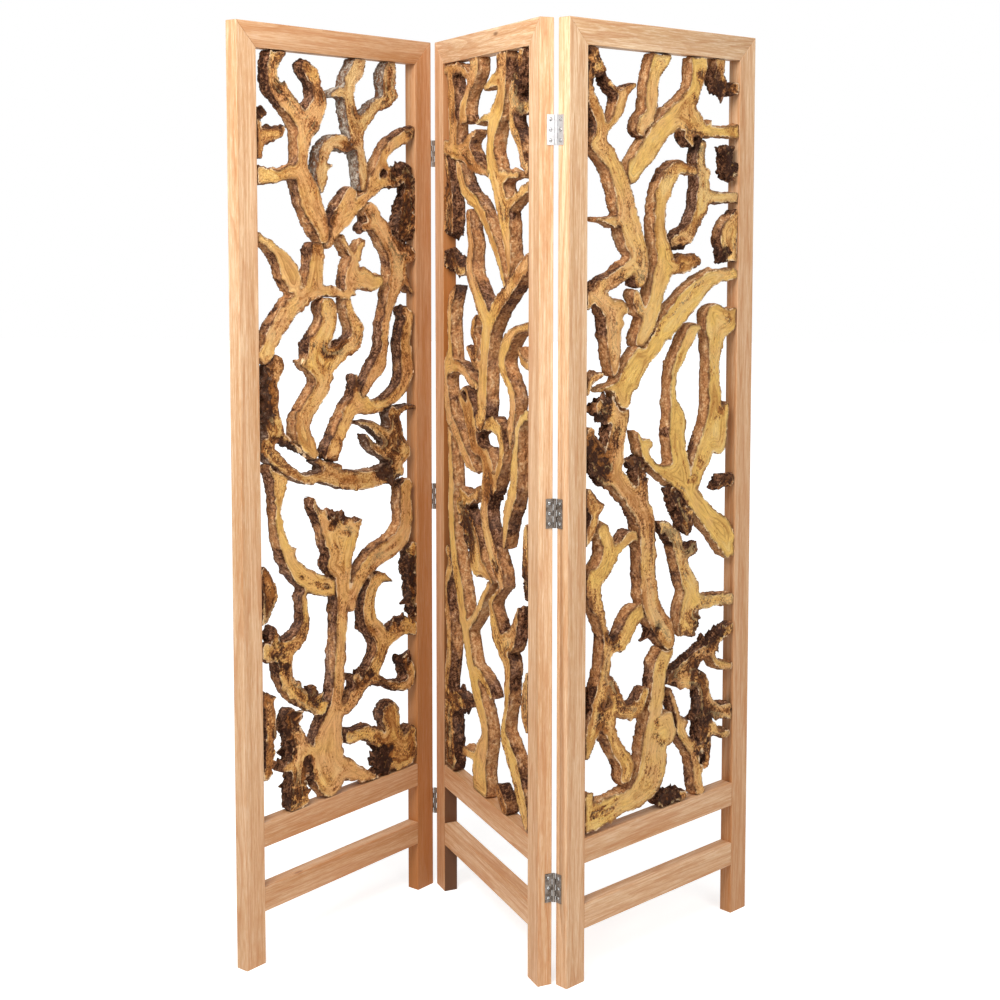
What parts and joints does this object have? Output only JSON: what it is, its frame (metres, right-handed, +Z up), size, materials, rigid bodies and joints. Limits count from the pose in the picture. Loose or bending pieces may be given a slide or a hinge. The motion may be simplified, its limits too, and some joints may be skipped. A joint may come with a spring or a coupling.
{
  "type": "folding screen",
  "caption": "Free-standing folding room screen: plain mitred timber frames, hinged edge to edge, each filled with sawn slabs of gnarled root wood.",
  "frame": {"origin": "centre of the bounding box's base, on the floor, with the screen standing in the picture's zig-zag", "axes": "+X to the right along the row of panels, +Y from the front of the screen to its back, +Z up"},
  "size_m": [0.945, 0.4718, 1.7],
  "materials": {
    "frame_wood": "planed, unvarnished softwood",
    "root_wood": "sawn faces, rough bark sides",
    "dowel_wood": "plain hardwood",
    "hinge_metal": "dull zinc plating"
  },
  "bodies": {
    "middle_panel": {"hinge_pins": "hinge_metal", "left_hinge_inner_leaves": "hinge_metal", "middle_panel_bottom_rail": "frame_wood", "middle_panel_corner_fork": "root_wood", "middle_panel_edge_knots": "root_wood", "middle_panel_hinge_screws": "hinge_metal", "middle_panel_lattice_rail": "frame_wood", "middle_panel_left_foot": "root_wood", "middle_panel_left_stem": "root_wood", "middle_panel_left_stile": "frame_wood", "middle_panel_main_trunk": "root_wood", "middle_panel_mitre_dowels": "dowel_wood", "middle_panel_right_hook": "root_wood", "middle_panel_right_sickle": "root_wood", "middle_panel_right_stile": "frame_wood", "middle_panel_ring_root": "root_wood", "middle_panel_sweep_column": "root_wood", "middle_panel_top_rail": "frame_wood", "middle_panel_wishbone": "root_wood", "right_hinge_inner_leaves": "hinge_metal"},
    "left_panel": {"left_hinge_outer_leaves": "hinge_metal", "left_panel_arc_limb": "root_wood", "left_panel_arch_root": "root_wood", "left_panel_bottom_rail": "frame_wood", "left_panel_centre_snake": "root_wood", "left_panel_cross_bough": "root_wood", "left_panel_crown_fork": "root_wood", "left_panel_edge_knots": "root_wood", "left_panel_grey_limb": "root_wood", "left_panel_hinge_screws": "hinge_metal", "left_panel_lattice_rail": "frame_wood", "left_panel_left_stile": "frame_wood", "left_panel_long_bough": "root_wood", "left_panel_lower_arc": "root_wood", "left_panel_mitre_dowels": "dowel_wood", "left_panel_right_stile": "frame_wood", "left_panel_right_yoke": "root_wood", "left_panel_sweep_bough": "root_wood", "left_panel_top_rail": "frame_wood", "left_panel_tree_trunk": "root_wood"},
    "right_panel": {"right_hinge_outer_leaves": "hinge_metal", "right_panel_big_bough": "root_wood", "right_panel_bird_limb": "root_wood", "right_panel_bottom_rail": "frame_wood", "right_panel_bottom_sweep": "root_wood", "right_panel_burl_s_limb": "root_wood", "right_panel_cross_limb": "root_wood", "right_panel_edge_knots": "root_wood", "right_panel_hinge_screws": "hinge_metal", "right_panel_lattice_rail": "frame_wood", "right_panel_left_stile": "frame_wood", "right_panel_long_yoke": "root_wood", "right_panel_loop_limb": "root_wood", "right_panel_main_bough": "root_wood", "right_panel_mid_root": "root_wood", "right_panel_mitre_dowels": "dowel_wood", "right_panel_post_root": "root_wood", "right_panel_right_stile": "frame_wood", "right_panel_right_tangle": "root_wood", "right_panel_top_rail": "frame_wood"}
  },
  "joints": [
    {"name": "left_fold", "type": "hinge", "parent": "middle_panel", "child": "left_panel", "pos_m": [-0.15158, 0.22057, 0.8], "axis": [0, 0, 1], "range_deg": [-117.3, 62.7]},
    {"name": "right_fold", "type": "hinge", "parent": "middle_panel", "child": "right_panel", "pos_m": [0.10306, -0.21732, 0.8], "axis": [0, 0, 1], "range_deg": [-109.7, 70.3]}
  ]
}
